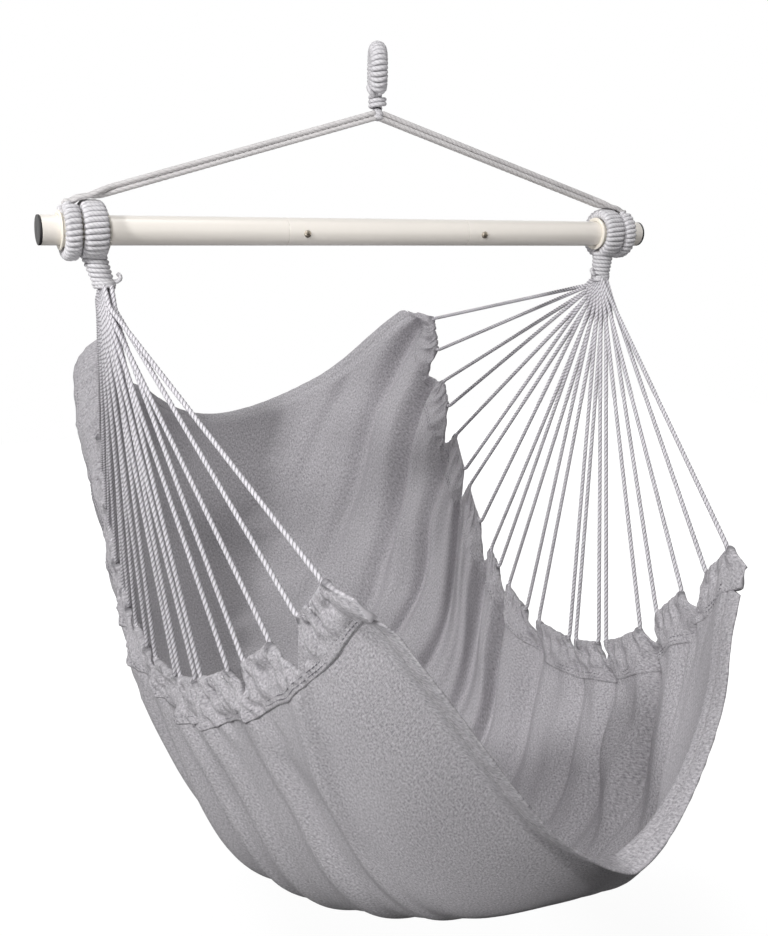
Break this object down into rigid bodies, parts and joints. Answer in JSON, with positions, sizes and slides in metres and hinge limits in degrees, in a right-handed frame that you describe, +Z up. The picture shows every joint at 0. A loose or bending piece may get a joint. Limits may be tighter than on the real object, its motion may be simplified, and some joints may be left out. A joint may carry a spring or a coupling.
{
  "type": "hammock chair",
  "caption": "Hanging hammock chair: a cloth bucket seat on two fans of cords, carried by a tube spreader bar under two rope legs and a rope loop for a hook.",
  "frame": {"origin": "where the top rope loop bears on its hook: the inner face of the loop's crown", "axes": "+Z up; +X along the spreader bar, to the right as the picture's viewer sees it; the sitter faces -Y"},
  "size_m": [0.8, 1.1156, 0.996],
  "materials": {
    "rope": "twisted light grey cotton blend rope",
    "cloth": "light grey melange canvas, woven and matt",
    "enamel": "ivory powder coat on steel tube, satin",
    "black": "black plastic end plug, fine grain",
    "sleeve": "ivory plastic sleeve, matt",
    "steel": "zinc plated screw head"
  },
  "bodies": {
    "top_loop": {"top_loop_core": "rope", "top_loop_winding": "rope"},
    "throat": {"throat_winding": "rope"},
    "apex": {"apex_ball": "rope"},
    "hanger": {"leg_left_strand_1": "rope", "leg_left_strand_2": "rope", "leg_left_strand_3": "rope", "leg_left_strand_4": "rope", "leg_right_strand_1": "rope", "leg_right_strand_2": "rope", "leg_right_strand_3": "rope", "leg_right_strand_4": "rope", "leg_left_ring_core": "rope", "leg_left_ring_winding": "rope", "leg_right_ring_core": "rope", "leg_right_ring_winding": "rope", "liner_left": "sleeve", "liner_right": "sleeve"},
    "spreader_bar": {"bar_tube_left": "enamel", "bar_tube_middle": "enamel", "bar_tube_right": "enamel", "end_cap_left": "black", "end_cap_right": "black", "joint_screw_left": "steel", "joint_screw_right": "steel"},
    "seat": {"neck_left_core": "rope", "neck_left_ring_winding": "rope", "neck_left_stem_winding": "rope", "neck_right_core": "rope", "neck_right_ring_winding": "rope", "neck_right_stem_winding": "rope", "cord_loop_left_01": "rope", "cord_loop_left_02": "rope", "cord_loop_left_03": "rope", "cord_loop_left_04": "rope", "cord_loop_left_05": "rope", "cord_loop_left_06": "rope", "cord_loop_left_07": "rope", "cord_loop_left_08": "rope", "cord_loop_left_09": "rope", "cord_loop_left_10": "rope", "cord_loop_left_11": "rope", "cord_loop_right_01": "rope", "cord_loop_right_02": "rope", "cord_loop_right_03": "rope", "cord_loop_right_04": "rope", "cord_loop_right_05": "rope", "cord_loop_right_06": "rope", "cord_loop_right_07": "rope", "cord_loop_right_08": "rope", "cord_loop_right_09": "rope", "cord_loop_right_10": "rope", "cord_loop_right_11": "rope", "side_hem_left": "cloth", "side_hem_right": "cloth", "seat_panel": "cloth", "back_hem": "cloth", "front_hem": "cloth"}
  },
  "joints": [
    {"name": "chair_turn", "type": "hinge", "parent": "top_loop", "child": "throat", "pos_m": [0, 0, -0.0618], "axis": [0, 0, 1], "range_deg": [-90, 90]},
    {"name": "chair_swing", "type": "hinge", "parent": "throat", "child": "apex", "pos_m": [0, 0, -0.0618], "axis": [1, 0, 0], "range_deg": [-25, 25]},
    {"name": "chair_sway", "type": "hinge", "parent": "apex", "child": "hanger", "pos_m": [0, 0, -0.0618], "axis": [0, 1, 0], "range_deg": [-12, 12]},
    {"name": "bar_roll", "type": "hinge", "parent": "hanger", "child": "spreader_bar", "pos_m": [0, 0, -0.198], "axis": [1, 0, 0], "continuous": true},
    {"name": "seat_tilt", "type": "hinge", "parent": "hanger", "child": "seat", "pos_m": [0, 0, -0.198], "axis": [1, 0, 0], "range_deg": [-25, 25]}
  ]
}
